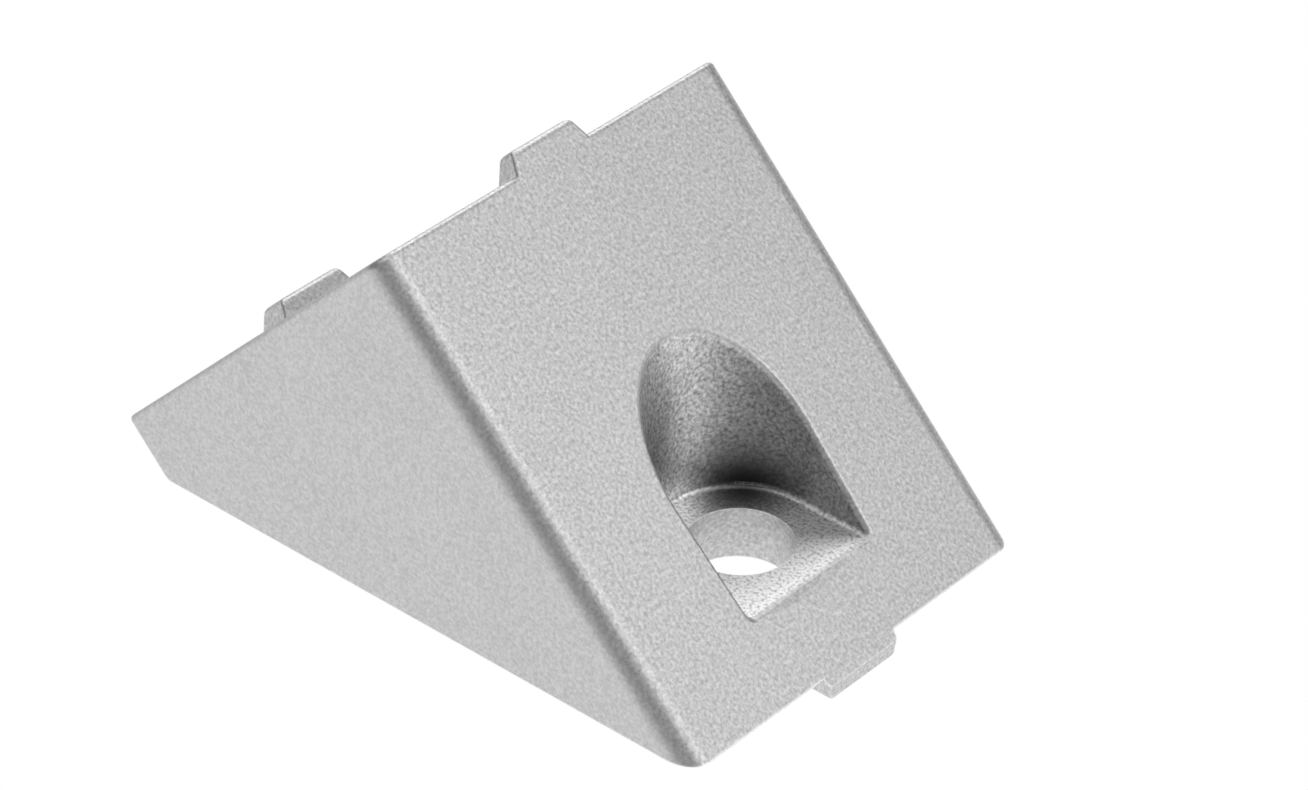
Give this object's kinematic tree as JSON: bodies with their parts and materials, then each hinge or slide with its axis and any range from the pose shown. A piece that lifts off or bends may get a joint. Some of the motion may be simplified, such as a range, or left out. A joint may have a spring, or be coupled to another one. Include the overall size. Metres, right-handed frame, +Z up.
{
  "type": "45 degree t slot corner bracket",
  "caption": "Solid cast wedge that bolts the sawn end of a T-slot profile to the side of another at 45 degrees, with grooved-fit lugs and recessed screw heads.",
  "frame": {"origin": "axis of the base screw where it meets the flat base face", "axes": "+X along the groove from the thin tip to the heel, +Y across the grooves, +Z up through the base screw, away from the profile it is bolted to"},
  "size_m": [0.0618, 0.04, 0.0356],
  "materials": {
    "casting": "sand-blasted, slightly grainy"
  },
  "bodies": {
    "root": {"bracket": "casting"}
  },
  "joints": []
}
